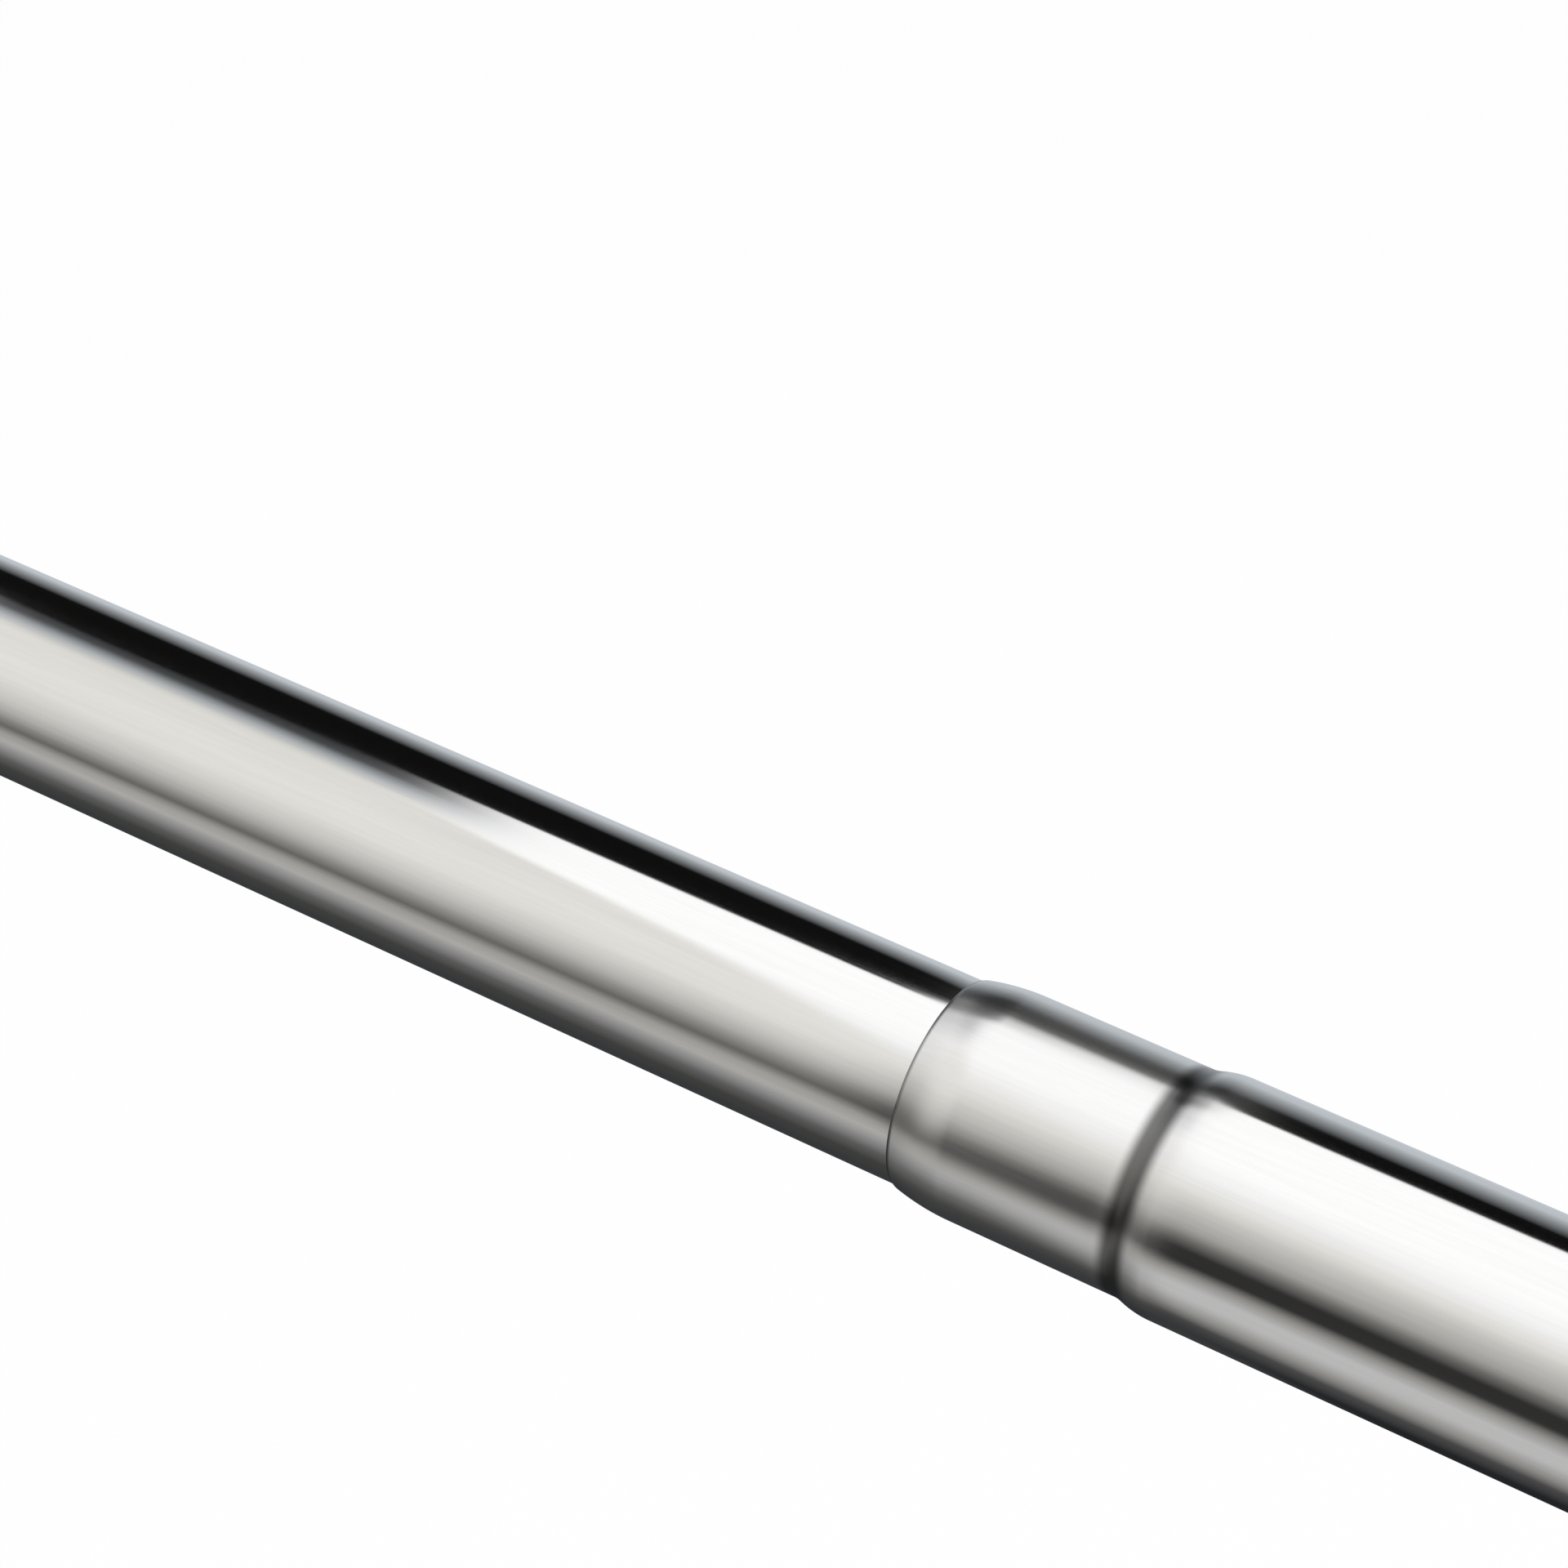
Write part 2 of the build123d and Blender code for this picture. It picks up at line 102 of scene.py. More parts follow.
# Steel: fine streaks along the tube and broad faint patches
GRAIN_SCALE = (60.0, 2600.0, 2600.0)
GRAIN_DEPTH = 0.003 * MM
GRAIN_BUMP = 0.3
PATCH_SCALE = (9.0, 90.0, 90.0)
LEAST_ROUGHNESS = 0.04
GRAIN_ROUGHNESS = 0.05
PATCH_ROUGHNESS = 0.02
STEEL_DARK = (0.760, 0.753, 0.727)
STEEL_LIGHT = (0.796, 0.790, 0.766)

# The swaged mouth: a haze as far as the step, painted shade in the crease where the step starts, a
# painted shadow on the lip's edge, and a turned grain on the crown and the step
NECK_HAZE = 0.115
HAZE_PAST_NECK = 2.0 * MM
HAZE_FADE = 6.0 * MM
CREASE_PLACE = 0.4 * MM
CREASE_CORE = 0.45 * MM
CREASE_EDGE = 1.75 * MM
# Darker steel colour: painted shade in the crease and a painted shadow at the lip's edge
PAINTED_SHADE_STEEL = (0.165, 0.162, 0.156)
EDGE_CORE = 0.12 * MM
EDGE_END = 0.40 * MM
EDGE_SHARE = 0.85
WORKED_ROUGHNESS = 0.06
QUARTER_TURN = 0.25
CROWN_MARGIN = 1.0 * MM
CROWN_BLEND = 5.5 * MM
STEP_CORE = 0.9 * MM
STEP_EDGE = 4.6 * MM

# The span that most of a noise texture falls in, and what it does to the other finishes
NOISE_LOW, NOISE_HIGH = 0.3, 0.7
CLOUD_ROUGHNESS = 0.12
MOTTLE_SCALE = 180.0
SPARK_SMOOTHER, SPARK_ROUGHER = 0.05, 0.07
SPARK_BUMP = 0.6

# Moulded finishes: darker and lighter colour, roughness, scale and depth of the spark texture
MOULDED = {
    "foot_plastic": ((0.135, 0.139, 0.145), (0.160, 0.164, 0.170), 0.32, 4200.0, 0.02 * MM),
    "plug_plastic": ((0.012, 0.012, 0.013), (0.018, 0.018, 0.019), 0.45, 3600.0, 0.02 * MM),
    "pad_rubber": ((0.018, 0.018, 0.019), (0.026, 0.026, 0.027), 0.62, 2600.0, 0.03 * MM),
    "nylon": ((0.640, 0.610, 0.520), (0.690, 0.660, 0.570), 0.38, 3000.0, 0.01 * MM),
    "lock_plastic": ((0.014, 0.014, 0.015), (0.021, 0.021, 0.022), 0.36, 3800.0, 0.02 * MM),
}

# Plain metals: darker and lighter colour, scale of the cloudiness, roughness
METALS = {
    "spring_steel": ((0.300, 0.300, 0.305), (0.390, 0.390, 0.395), 700.0, 0.26),
    "screw_steel": ((0.560, 0.570, 0.580), (0.660, 0.670, 0.680), 500.0, 0.20),
}

# Fineness of the meshes
TUBE_SEGMENTS = 256
FOOT_SEGMENTS = 192
ARC_STEPS = 12
CROWN_STEPS = 24
ROOT_STEPS = 16
DIMPLE_STEPS = 24
COIL_STEPS = 72
WIRE_SIDES = 20
SHARP_ANGLE = math.radians(32)

# Stations and radii taken from the frame
outer_low, outer_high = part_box("outer_tube")
inner_low, inner_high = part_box("inner_tube")
outer_radius = outer_high.z
inner_radius = inner_high.z
neck_radius = outer_radius - SWAGE_STEP
land_radius = inner_radius + LIP_GAP
crown_slope = math.asin((CROWN_LENGTH - LIP_RADIUS) / (CROWN_RADIUS - LIP_RADIUS))
crown_centre_radius = neck_radius - CROWN_RADIUS
lip_centre_radius = crown_centre_radius + (CROWN_RADIUS - LIP_RADIUS) * math.cos(crown_slope)
lip_rise = land_radius - lip_centre_radius
lip_face = LIP_RADIUS - math.sqrt(LIP_RADIUS**2 - lip_rise**2)
lip_x = outer_low.x - lip_face
taper_arcs = ROOT_RADIUS + SHOULDER_RADIUS
taper_arc_rise = taper_arcs * (1 - math.cos(TAPER_ANGLE))
taper_cone = (SWAGE_STEP - taper_arc_rise) / math.tan(TAPER_ANGLE)
taper_length = taper_arcs * math.sin(TAPER_ANGLE) + taper_cone
neck_end = lip_x + NECK_LENGTH


def arc(centre, radius, start, end, steps=ARC_STEPS):
    """Points on an arc from start to end, in degrees, both ends included."""
    points = []
    for step in range(steps + 1):
        angle = math.radians(start + (end - start) * step / steps)
        points.append((centre[0] + radius * math.cos(angle), centre[1] + radius * math.sin(angle)))
    return points


def new_object(name, data):
    """A mesh, camera or lamp as an object in the scene."""
    thing = bpy.data.objects.new(name, data)
    bpy.context.scene.collection.objects.link(thing)
    return thing


def skin(name, rings, closed):
    """A smooth mesh with its corners kept: rings of points are joined one to the next, and the last
    to the first if closed, or else the first and the last are capped."""
    work = bmesh.new()
    rings = [[work.verts.new(point) for point in ring] for ring in rings]
    for here, there in zip(rings, rings[1:] + rings[:1] if closed else rings[1:]):
        for side in range(len(here)):
            after = (side + 1) % len(here)
            work.faces.new((here[side], here[after], there[after], there[side]))
    if not closed:
        work.faces.new(rings[0])
        work.faces.new(rings[-1])
    bmesh.ops.recalc_face_normals(work, faces=work.faces)
    mesh = bpy.data.meshes.new(name)
    work.to_mesh(mesh)
    work.free()
    mesh.shade_smooth()
    mesh.set_sharp_from_angle(angle=SHARP_ANGLE)
    return new_object(name, mesh)


def revolve(name, outline, segments):
    """Turns a closed outline of (x, radius) points about the X axis."""
    turns = [2 * math.pi * step / segments for step in range(segments)]
    rings = []
    for x, radius in outline:
        rings.append([(x, radius * math.cos(turn), radius * math.sin(turn)) for turn in turns])
    return skin(name, rings, closed=True)


def stand_in(piece, finish, body, slot, *nodes):
    """The piece gets its finish, rides on its body and takes the place of its CAD nodes."""
    piece.data.materials.append(materials[finish])
    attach(piece, body)
    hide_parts(*nodes)


class Nodes:
    """The node tree of a material or world, with short ways to add and link nodes."""

    def __init__(self, owner, output="ShaderNodeOutputMaterial"):
        self.owner = owner
        self.owner.use_nodes = True
        self.tree = self.owner.node_tree
        self.tree.nodes.clear()
        self.output = self.add(output)

    def add(self, kind, **settings):
        node = self.tree.nodes.new(kind)
        for key, value in settings.items():
            setattr(node, key, value)
        return node

    def link(self, source, target):
        self.tree.links.new(source, target)

    def surface(self, shader):
        """Links the last shader to the output and gives back the material or world."""
        self.link(shader.outputs[0], self.output.inputs["Surface"])
        return self.owner

    def set(self, node, **values):
        for key, value in values.items():
            node.inputs[key.replace("_", " ")].default_value = value

    def object_position(self):
        return self.add("ShaderNodeTexCoord").outputs["Object"]

    def scaled(self, vector, scale):
        node = self.add("ShaderNodeMapping")
        self.set(node, Scale=scale)
        self.link(vector, node.inputs["Vector"])
        return node.outputs["Vector"]

    def noise(self, vector, scale, detail=3.0, roughness=0.5):
        node = self.add("ShaderNodeTexNoise")
        self.set(node, Scale=scale, Detail=detail, Roughness=roughness)
        self.link(vector, node.inputs["Vector"])
        return node.outputs["Fac"]

    def math(self, operation, first, second=0.0, third=0.0):
        node = self.add("ShaderNodeMath", operation=operation)
        for socket, value in zip(node.inputs, (first, second, third)):
            if isinstance(value, (int, float)):
                socket.default_value = value
            else:
                self.link(value, socket)
        return node.outputs[0]

    def product(self, first, *others):
        for other in others:
            first = self.math("MULTIPLY", first, other)
        return first

    def distance(self, first, second):
        return self.math("ABSOLUTE", self.math("SUBTRACT", first, second))

    def spread(self, value, low, high, to_low=0.0, to_high=1.0, smooth=False):
        """The value's place between low and high, as a number between to_low and to_high."""
        node = self.add("ShaderNodeMapRange")
        if smooth:
            node.interpolation_type = "SMOOTHSTEP"
        self.set(node, From_Min=low, From_Max=high, To_Min=to_low, To_Max=to_high)
        self.link(value, node.inputs["Value"])
        return node.outputs["Result"]

    def ramp(self, value, stops):
        node = self.add("ShaderNodeValToRGB")
        elements = node.color_ramp.elements
        while len(elements) < len(stops):
            elements.new(0.5)
        for element, (place, colour) in zip(elements, stops):
            element.position = place
            element.color = (*colour, 1.0)
        self.link(value, node.inputs["Fac"])
        return node.outputs["Color"]

    def mix(self, factor, first, second):
        node = self.add("ShaderNodeMix", data_type="RGBA")
        first_colour, second_colour = node.inputs[6:8]
        sockets = (node.inputs["Factor"], first_colour, second_colour)
        for socket, value in zip(sockets, (factor, first, second)):
            if isinstance(value, tuple):
                socket.default_value = (*value, 1.0)
            else:
                self.link(value, socket)
        return node.outputs[2]

    def bump(self, height, distance, strength):
        node = self.add("ShaderNodeBump")
        self.set(node, Distance=distance, Strength=strength)
        self.link(height, node.inputs["Height"])
        return node.outputs["Normal"]


def steel(name, swaged):
    """Polished stainless tube with a faint lengthwise grain. The swaged tube is hazier at its
    mouth, with a turned grain on the crown and the step. Its colour is darker in the step's crease,
    as painted shade, and at the lip's edge, as a painted shadow of the gap to the inner tube."""
    n = Nodes(bpy.data.materials.new(name))
    place = n.object_position()
    grain = n.noise(n.scaled(place, GRAIN_SCALE), 1.0, detail=4.0, roughness=0.65)
    patches = n.noise(n.scaled(place, PATCH_SCALE), 1.0, detail=2.0)
    shader = n.add("ShaderNodeBsdfPrincipled")
    n.set(shader, Metallic=1.0)
    colour = n.ramp(grain, [(NOISE_LOW, STEEL_DARK), (NOISE_HIGH, STEEL_LIGHT)])
    roughness = n.math("MULTIPLY_ADD", grain, GRAIN_ROUGHNESS, LEAST_ROUGHNESS)
    roughness = n.math("MULTIPLY_ADD", patches, PATCH_ROUGHNESS, roughness)
    if swaged:
        separate = n.add("ShaderNodeSeparateXYZ")
        n.link(place, separate.inputs[0])
        along = separate.outputs["X"]
        haze_end = neck_end + HAZE_PAST_NECK
        haze = n.spread(along, haze_end, haze_end + HAZE_FADE, NECK_HAZE, 0.0, smooth=True)
        roughness = n.math("ADD", roughness, haze)

        # Painted shade: the steel colour darkened round the step's crease
        from_crease = n.distance(along, neck_end + CREASE_PLACE)
        painted_crease_shade = n.spread(from_crease, CREASE_CORE, CREASE_EDGE, 1.0, 0.0, smooth=True)
        colour = n.mix(painted_crease_shade, colour, PAINTED_SHADE_STEEL)
        # Painted shadow: the steel colour darkened along the lip's edge, next to the gap to the
        # inner tube
        mouth_x = outer_low.x
        painted_lip_shadow = n.spread(along, mouth_x + EDGE_CORE, mouth_x + EDGE_END, EDGE_SHARE, 0.0)
        colour = n.mix(painted_lip_shadow, colour, PAINTED_SHADE_STEEL)

        crown_end = lip_x + CROWN_LENGTH + CROWN_MARGIN
        crown = n.spread(along, crown_end - CROWN_BLEND, crown_end, 1.0, 0.0, smooth=True)
        from_step = n.distance(along, neck_end + taper_length / 2)
        step = n.spread(from_step, STEP_CORE, STEP_EDGE, 1.0, 0.0, smooth=True)
        worked = n.math("MAXIMUM", crown, step)
        roughness = n.math("MULTIPLY_ADD", worked, WORKED_ROUGHNESS, roughness)
        n.link(worked, shader.inputs["Anisotropic"])
        n.set(shader, Anisotropic_Rotation=QUARTER_TURN)
        tangent = n.add("ShaderNodeTangent", direction_type="RADIAL", axis="X")
        n.link(tangent.outputs[0], shader.inputs["Tangent"])
    n.link(colour, shader.inputs["Base Color"])
    n.link(roughness, shader.inputs["Roughness"])
    n.link(n.bump(grain, GRAIN_DEPTH, GRAIN_BUMP), shader.inputs["Normal"])
    return n.surface(shader)


def plain_metal(name, low, high, scale, roughness):
    """Wire, screws and washers: bright metal with a little cloudiness."""
    n = Nodes(bpy.data.materials.new(name))
    cloud = n.noise(n.object_position(), scale, detail=3.0)
    shader = n.add("ShaderNodeBsdfPrincipled")
    n.set(shader, Metallic=1.0)
    n.link(n.ramp(cloud, [(NOISE_LOW, low), (NOISE_HIGH, high)]), shader.inputs["Base Color"])
    uneven = n.spread(cloud, NOISE_LOW, NOISE_HIGH, roughness, roughness + CLOUD_ROUGHNESS)
    n.link(uneven, shader.inputs["Roughness"])
    return n.surface(shader)


def moulded(name, low, high, roughness, pore, depth):
    """Moulded plastic or rubber: slight mottling, a fine spark texture and a soft sheen."""
    n = Nodes(bpy.data.materials.new(name))
    place = n.object_position()
    mottle = n.noise(place, MOTTLE_SCALE, detail=2.0)
    spark = n.noise(place, pore, detail=2.0, roughness=0.6)
    shader = n.add("ShaderNodeBsdfPrincipled")
    n.link(n.ramp(mottle, [(NOISE_LOW, low), (NOISE_HIGH, high)]), shader.inputs["Base Color"])
    smoother, rougher = roughness - SPARK_SMOOTHER, roughness + SPARK_ROUGHER
    n.link(n.spread(spark, NOISE_LOW, NOISE_HIGH, smoother, rougher), shader.inputs["Roughness"])
    n.link(n.bump(spark, depth, SPARK_BUMP), shader.inputs["Normal"])
    return n.surface(shader)


materials = {
    "outer_steel": steel("outer_steel", swaged=True),
    "inner_steel": steel("inner_steel", swaged=False),
}
for name, finish in MOULDED.items():
    materials[name] = moulded(name, *finish)
for name, finish in METALS.items():
    materials[name] = plain_metal(name, *finish)


# Tubes
def outer_tube_outline():
    """The swaged mouth with its crowned lip and S-curved step, then the plain tube."""
    degrees = math.degrees(TAPER_ANGLE)
    crown = math.degrees(crown_slope)
    lip_centre = (lip_x + LIP_RADIUS, lip_centre_radius)
    crown_centre = (lip_x + CROWN_LENGTH, crown_centre_radius)
    root_centre = (neck_end, neck_radius + ROOT_RADIUS)
    shoulder_centre = (neck_end + taper_length, outer_radius - SHOULDER_RADIUS)
    lip_angle = math.degrees(math.asin(lip_rise / LIP_RADIUS))
    bore_crown = CROWN_RADIUS - OUTER_WALL
    land_angle = math.degrees(math.acos((land_radius - crown_centre_radius) / bore_crown))
    outside = [
        *arc(lip_centre, LIP_RADIUS, 180 - lip_angle, 90 + crown),
        *arc(crown_centre, CROWN_RADIUS, 90 + crown, 90, CROWN_STEPS)[1:],
        *arc(root_centre, ROOT_RADIUS, -90, -90 + degrees, ROOT_STEPS),
        *arc(shoulder_centre, SHOULDER_RADIUS, 90 + degrees, 90),
        (outer_high.x, outer_radius),
    ]
    bore = [
        (outer_high.x, outer_radius - OUTER_WALL),
        *arc(shoulder_centre, SHOULDER_RADIUS - OUTER_WALL, 90, 90 + degrees),
        *arc(root_centre, ROOT_RADIUS + OUTER_WALL, -90 + degrees, -90),
        *arc(crown_centre, bore_crown, 90, 90 + land_angle),
    ]
    return outside + bore


def inner_tube_outline():
    """The plain tube, with close rings where the dimples are."""
    dimple_x = inner_high.x - DIMPLE_SETBACK
    reach = DIMPLE_RADIUS + INNER_WALL
    xs = [inner_low.x]
    for step in range(DIMPLE_STEPS + 1):
        xs.append(dimple_x + reach * (2 * step / DIMPLE_STEPS - 1))
    xs.append(inner_high.x)
    bore = inner_radius - INNER_WALL
    return [(x, inner_radius) for x in xs] + [(x, bore) for x in reversed(xs)]


def punch_dimples(tube):
    """Presses the bush's dimples into both skins of the inner tube."""
    centre_radius = inner_radius + DIMPLE_RADIUS - DIMPLE_DEPTH
    middle = inner_radius - INNER_WALL / 2
    for number in range(DIMPLE_COUNT):
        turn = math.pi / 2 + 2 * math.pi * number / DIMPLE_COUNT
        axis = Vector((0, math.cos(turn), math.sin(turn)))
        centre = axis * centre_radius + Vector((inner_high.x - DIMPLE_SETBACK, 0, 0))
        for vertex in tube.data.vertices:
            outside = Vector((0, *vertex.co.yz)).length > middle
            radius = DIMPLE_RADIUS if outside else DIMPLE_RADIUS + INNER_WALL
            away = vertex.co - centre
            if away.length < radius:
                along = away.dot(axis)
                depth = math.sqrt(radius**2 - (away.length_squared - along**2))
                vertex.co += axis * (-depth - along)


outer_tube = revolve("outer_tube_skin", outer_tube_outline(), TUBE_SEGMENTS)
stand_in(outer_tube, "outer_steel", "outer", "stainless_steel", "outer_tube")

inner_tube = revolve("inner_tube_skin", inner_tube_outline(), TUBE_SEGMENTS)
punch_dimples(inner_tube)
stand_in(inner_tube, "inner_steel", "inner", "stainless_steel", "inner_tube")


# Feet and pads
def rounded(points):
    """Rounds the corners of an outline. Each point is (x, radius, corner radius)."""
    outline = []
    for before, here, after in zip(points[-1:] + points[:-1], points, points[1:] + points[:1]):
        corner, bend = Vector(here[:2]), here[2]
        if bend == 0:
            outline.append(tuple(corner))
            continue
        back = (Vector(before[:2]) - corner).normalized()
        on = (Vector(after[:2]) - corner).normalized()
        half = back.angle(on) / 2
        trim = bend / math.tan(half)
        centre = corner + (back + on).normalized() * (bend / math.sin(half))
        first = corner + back * trim - centre
        last = corner + on * trim - centre
        for step in range(ARC_STEPS // 2 + 1):
            share = 2 * step / ARC_STEPS
            spoke = (first * (1 - share) + last * share).normalized() * bend
            outline.append(tuple(centre + spoke))
    return outline


def foot_outline(wall_x, inward, tube_radius, foot_length, flange_radius):
    """The flange with its pad recess, and the skirt over the tube."""
    socket = tube_radius + SOCKET_GAP
    skirt = socket + SOCKET_WALL
    back = PAD_PROUD + FLANGE_THICKNESS
    recess = flange_radius - PAD_RIM + PAD_GAP
    points = [
        (PAD_THICKNESS, SCREW_HOLE_RADIUS, 0),
        (PAD_THICKNESS, recess, 0),
        (PAD_PROUD, recess, RECESS_CORNER),
        (PAD_PROUD, flange_radius, FLANGE_CORNER),
        (back, flange_radius, FLANGE_CORNER),
        (back + FLANGE_RAKE, skirt, SKIRT_FILLET),
        (foot_length, skirt, SKIRT_CORNER),
        (foot_length, socket, SOCKET_CORNER),
        (PAD_THICKNESS + WEB_THICKNESS, socket, 0),
        (PAD_THICKNESS + WEB_THICKNESS, SCREW_HOLE_RADIUS, 0),
    ]
    return [(wall_x + inward * x, radius) for x, radius in rounded(points)]


def pad_outline(wall_x, inward, radius):
    """The pad, with rounded tread rings on its wall side."""
    pitch = radius / (TREAD_RINGS + 1)
    face = [(0, PAD_CENTRE, 0)]
    for ring in range(1, TREAD_RINGS + 1):
        near = ring * pitch - TREAD_WIDTH / 2
        far = ring * pitch + TREAD_WIDTH / 2
        face.append((0, near, TREAD_CORNER))
        face.append((TREAD_DEPTH, near, TREAD_FILLET))
        face.append((TREAD_DEPTH, far, TREAD_FILLET))
        face.append((0, far, TREAD_CORNER))
    back = [(0, radius, PAD_CORNER), (PAD_THICKNESS, radius, 0), (PAD_THICKNESS, PAD_CENTRE, 0)]
    points = face + back
    return [(wall_x + inward * x, radius) for x, radius in rounded(points)]


for side, tube_radius, inward in (("outer", outer_radius, -1), ("inner", inner_radius, 1)):
    foot_low, foot_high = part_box(f"{side}_foot")
    pad_low, pad_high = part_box(f"{side}_pad")
    wall_x = pad_high.x if side == "outer" else pad_low.x
    skirt_end = foot_low.x if side == "outer" else foot_high.x
    outline = foot_outline(wall_x, inward, tube_radius, abs(skirt_end - wall_x), foot_high.z)
    foot = revolve(f"{side}_foot_shell", outline, FOOT_SEGMENTS)
    stand_in(foot, "foot_plastic", side, "foot_plastic", f"{side}_foot")
    pad = revolve(f"{side}_pad_face", pad_outline(wall_x, inward, pad_high.z), FOOT_SEGMENTS)
    stand_in(pad, "pad_rubber", side, "pad_rubber", f"{side}_pad")


# Spring
def make_spring():
    """Round wire in one smooth coil that closes up at both ends, each ground flat."""
    low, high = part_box("tension_spring")
    length = high.x - low.x
    coil_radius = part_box("spring_washer")[1].z - SPRING_INSET - SPRING_WIRE / 2
    closed = SPRING_WIRE + SPRING_CLOSED_GAP
    turns = SPRING_ACTIVE_TURNS + 2
    rings = []
    for step in range(turns * COIL_STEPS + 1):
        turn = step / COIL_STEPS
        inside = min(max(turn - 1, 0), SPRING_ACTIVE_TURNS)
        x = low.x + closed * (turn - inside) + (length - 2 * closed) * inside / SPRING_ACTIVE_TURNS
        angle = 2 * math.pi * turn
        spoke = Vector((0, math.cos(angle), math.sin(angle)))
        ring = []
        for side in range(WIRE_SIDES):
            around = 2 * math.pi * side / WIRE_SIDES
            point = spoke * (coil_radius + SPRING_WIRE / 2 * math.cos(around))
            point.x = min(max(x + SPRING_WIRE / 2 * math.sin(around), low.x), high.x)
            ring.append(point)
        rings.append(ring)
    spring = skin("spring_coil", rings, closed=False)
    stand_in(spring, "spring_steel", "inner", "spring_steel", "tension_spring")
    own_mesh(spring)


make_spring()

# CAD nodes that stay
KEPT = {
    "plug_plastic": ("outer_plug", "inner_plug"),
    "nylon": ("guide_bush", "lock_spindle"),
    "lock_plastic": ("expander_sleeve", "expander_cone"),
    "screw_steel": (
        "outer_foot_screw",
        "inner_foot_screw",
        "shank_washer",
        "shank_screw",
        "nose_washer",
        "nose_screw",
        "spring_washer",
    ),
}
for finish, names in KEPT.items():
    for name in names:
        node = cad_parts[name]
        node.data.materials.clear()
        node.data.materials.append(materials[finish])

# Camera, as the photograph was taken: above the rod, in front, and to the right of the lip
CAMERA_FROM_LIP = Vector((134.5, -241.5, 289.7)) * MM
CAMERA_TILT = math.radians(47.31)
CAMERA_TURN = math.radians(31.95)
CAMERA_LENS = 107.1
CAMERA_SENSOR = 36.0
CAMERA_CLIP = (0.01, 50.0)

camera_data = bpy.data.cameras.new("camera")
camera_data.lens = CAMERA_LENS
camera_data.sensor_width = CAMERA_SENSOR
camera_data.clip_start, camera_data.clip_end = CAMERA_CLIP
camera = new_object("camera", camera_data)
camera.location = Vector((outer_low.x, 0, 0)) + CAMERA_FROM_LIP
camera.rotation_euler = (CAMERA_TILT, 0, CAMERA_TURN)
bpy.context.scene.camera = camera

# Floor and world
FLOOR_HALF_WIDTH = 40.0
FLOOR_HEIGHT = -0.9
FLOOR_WHITE = (0.9, 0.9, 0.9, 1.0)
FLOOR_GLOW = 0.94
WORLD_WHITE = (1.0, 1.0, 1.0, 1.0)
WORLD_LEVEL = 0.65

# Studio: curved cards run along the rod, one metre out. Places along it are in metres from the lip,
# minus towards the inner tube. Angles are about the rod's axis from straight at the camera, plus
# over the top and minus under the front, in radians where nothing else is said.
CARD_DISTANCE = 1.0
CARD_HALF_LENGTH = 3.0
CARD_STEPS = 72
camera_angle = math.atan2(-CAMERA_FROM_LIP.y, CAMERA_FROM_LIP.z)

# Casts of the cards, against the slight warmth of the steel, and the brightness that a ramp's 1 is
WARM = (1.0, 0.995, 0.975)
NEUTRAL = (0.965, 0.970, 1.0)
COOL = (0.90, 0.965, 1.04)
FULL = 1.32

# Stops are (degrees, brightness, cast). The outer tube mirrors the near cards and the inner tube
# the far ones: low shade, fill card, dark gap, falloff, key card.
NEAR_CARDS = (
    (-180, 0.02, COOL), (-147, 0.022, COOL), (-123, 0.085, NEUTRAL), (-106, 0.38, WARM),
    (-92, 0.63, NEUTRAL), (-80, 0.64, NEUTRAL), (-68, 0.36, WARM), (-58, 0.036, WARM),
    (-46, 0.034, WARM), (-37, 0.18, WARM), (-28, 0.44, WARM), (-9, 0.70, WARM),
    (0, 0.89, WARM), (18, 1.17, NEUTRAL), (36, 1.30, NEUTRAL), (180, 1.30, NEUTRAL),
)
FAR_CARDS = (
    (-180, 0.045, COOL), (-147, 0.048, COOL), (-123, 0.062, WARM), (-106, 0.14, NEUTRAL),
    (-92, 0.33, NEUTRAL), (-80, 0.51, WARM), (-68, 0.42, WARM), (-57, 0.155, WARM),
    (-47, 0.31, WARM), (-37, 0.53, WARM), (-24, 0.74, WARM), (-8, 0.93, WARM),
    (10, 0.96, WARM), (45, 0.89, WARM), (57, 0.50, COOL), (67, 0.085, COOL), (80, 0.012, COOL),
    (180, 0.012, COOL),
)

# Black flags over the top, one after the other along the rod, and the dimmer card behind them
FLAG_LEVEL, FLAG_GAP_LEVEL = 0.004, 0.07
FAR_FLAG = (math.radians(86.4), math.radians(116.5))
NEAR_FLAG = (math.radians(95.6), math.radians(111.0))
FLAG_SLANT = math.radians(15)
FLAG_SOFTNESS = 0.02
FLAG_JOIN = (-0.376, -0.335)
GAP_OPENS, GAP_CLOSES = (-0.365, -0.34), (-0.285, -0.25)
RIM_LEVEL = 0.65
RIM_RISE = math.radians(32)

# Where the near cards begin, with a curved front above and a slanted one from LOW_FRONT down, and
# the place that this front doesn't pass
NEAR_START, NEAR_FULL = -0.397, -0.335
NEAR_CURVE_UP, NEAR_SLANT_DOWN = 0.315, 0.08
LOW_FRONT = -0.9
KEY_START, KEY_FULL = -0.568, -0.509

# How much the cards lean along the rod, and from which place. Going down from straight at the
# camera the lean starts, is full, and eases off to its rest.
NEAR_LEAN, NEAR_STRAIGHT = -1.3, -0.25
NEAR_LEAN_START, NEAR_LEAN_FULL = 0.8, 1.1
FAR_LEAN, FAR_STRAIGHT = -0.55, -0.433
LEAN_START, LEAN_FULL, LEAN_LESS, LEAN_LEAST, LEAN_REST = 0.1, 0.6, 0.9, 1.5, 0.4

# Where the near cards come again, for the crowned mouth, which mirrors that end of the studio
AGAIN_START, AGAIN_FULL, AGAIN_PLACE = -0.72, -0.80, -0.34

